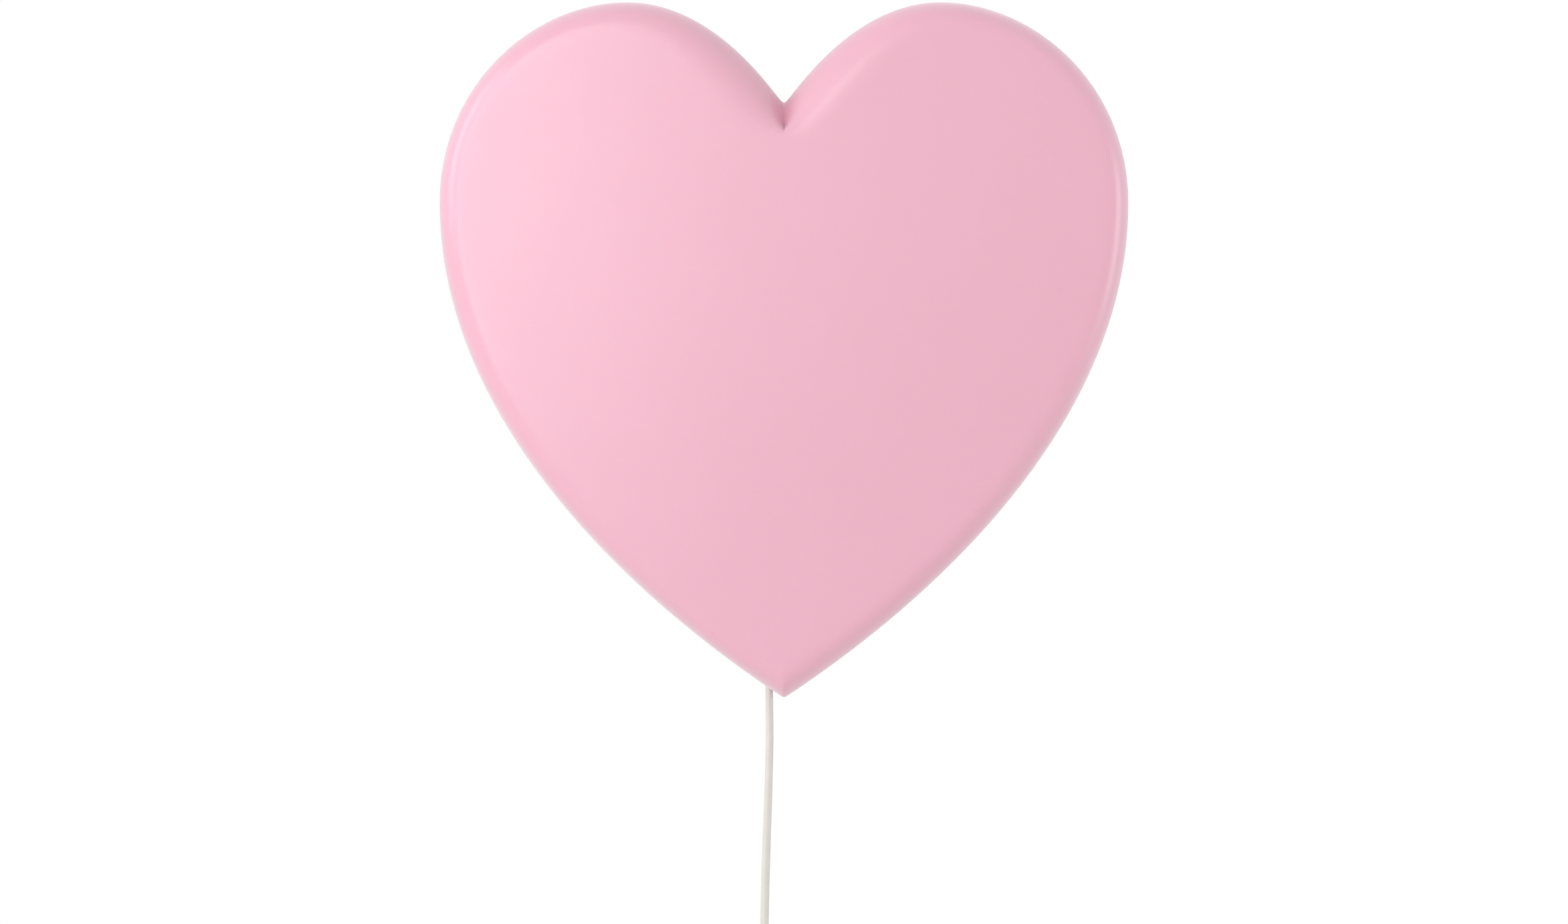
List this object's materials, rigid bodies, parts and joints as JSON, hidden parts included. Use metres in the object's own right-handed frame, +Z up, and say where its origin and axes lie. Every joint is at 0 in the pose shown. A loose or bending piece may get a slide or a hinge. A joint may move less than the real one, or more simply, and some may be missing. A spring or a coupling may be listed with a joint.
{
  "type": "heart-shaped wall lamp",
  "caption": "Heart-shaped plastic wall lamp: rounded pink shade over an LED board and driver, hung on a hooked wall bracket, with a mains lead, in-line switch and plug.",
  "frame": {"origin": "the middle of the wall bracket's back face, on the wall", "axes": "+X to the right and +Z up as the lamp hangs on the wall, +Y into the wall; the front faces -Y"},
  "size_m": [0.29, 0.0718, 0.5899],
  "materials": {
    "pink_shade": "satin",
    "white_plastic": "matte",
    "ivory_plastic": "satin",
    "ivory_cord": "satin",
    "zinc_steel": "zinc-plated",
    "nickel": "nickel-plated",
    "brass": "bright",
    "white_board": "satin",
    "green_board": "satin",
    "led_phosphor": "gloss",
    "black_plastic": "satin",
    "ferrite": "matte",
    "brown_wire": "satin",
    "blue_wire": "satin",
    "red_wire": "satin",
    "ivory_rubber": "matte"
  },
  "bodies": {
    "bracket": {"wall_bracket": "zinc_steel"},
    "lamp": {"shade": "pink_shade", "back_plate": "white_plastic", "bay_cover": "white_plastic", "shade_screw_1": "zinc_steel", "shade_screw_2": "zinc_steel", "shade_screw_3": "zinc_steel", "shade_screw_4": "zinc_steel", "shade_screw_5": "zinc_steel", "shade_screw_6": "zinc_steel", "cover_screw_1": "zinc_steel", "cover_screw_2": "zinc_steel", "cover_screw_3": "zinc_steel", "cover_screw_4": "zinc_steel", "led_board": "white_board", "led_1": "led_phosphor", "led_2": "led_phosphor", "led_3": "led_phosphor", "led_4": "led_phosphor", "led_5": "led_phosphor", "led_6": "led_phosphor", "led_7": "led_phosphor", "led_8": "led_phosphor", "led_9": "led_phosphor", "led_screw_1": "zinc_steel", "led_screw_2": "zinc_steel", "led_plug": "white_plastic", "led_wire_positive": "red_wire", "led_wire_negative": "black_plastic", "driver_board": "green_board", "driver_screw_1": "zinc_steel", "driver_screw_2": "zinc_steel", "driver_transformer": "ferrite", "driver_capacitor": "black_plastic", "terminal_block": "white_plastic", "live_wire": "brown_wire", "neutral_wire": "blue_wire", "cord_clamp": "white_plastic", "clamp_screw_1": "zinc_steel", "clamp_screw_2": "zinc_steel", "cord_lead_in": "ivory_cord", "cord_bush": "ivory_rubber", "cord_drop": "ivory_cord", "switch_base": "ivory_plastic", "switch_cover": "ivory_plastic", "rocker_pin": "zinc_steel", "contact_leaf": "brass", "switch_contact_1": "brass", "switch_contact_2": "brass", "switch_screw_1": "zinc_steel", "switch_screw_2": "zinc_steel", "cord_to_coil": "ivory_cord", "cord_coil": "ivory_cord", "cord_to_plug": "ivory_cord", "cord_tie": "ivory_plastic", "plug_body": "ivory_plastic", "plug_pin_1": "nickel", "plug_pin_2": "nickel"},
    "rocker": {"switch_rocker": "ivory_plastic"}
  },
  "joints": [
    {"name": "lamp_lift", "type": "slide", "parent": "bracket", "child": "lamp", "axis": [0, 0, 1], "range_m": [0, 0.009]},
    {"name": "rocker_tilt", "type": "hinge", "parent": "lamp", "child": "rocker", "pos_m": [-0.0084, -0.015, -0.322], "axis": [1, 0, 0], "range_deg": [0, 16]}
  ]
}
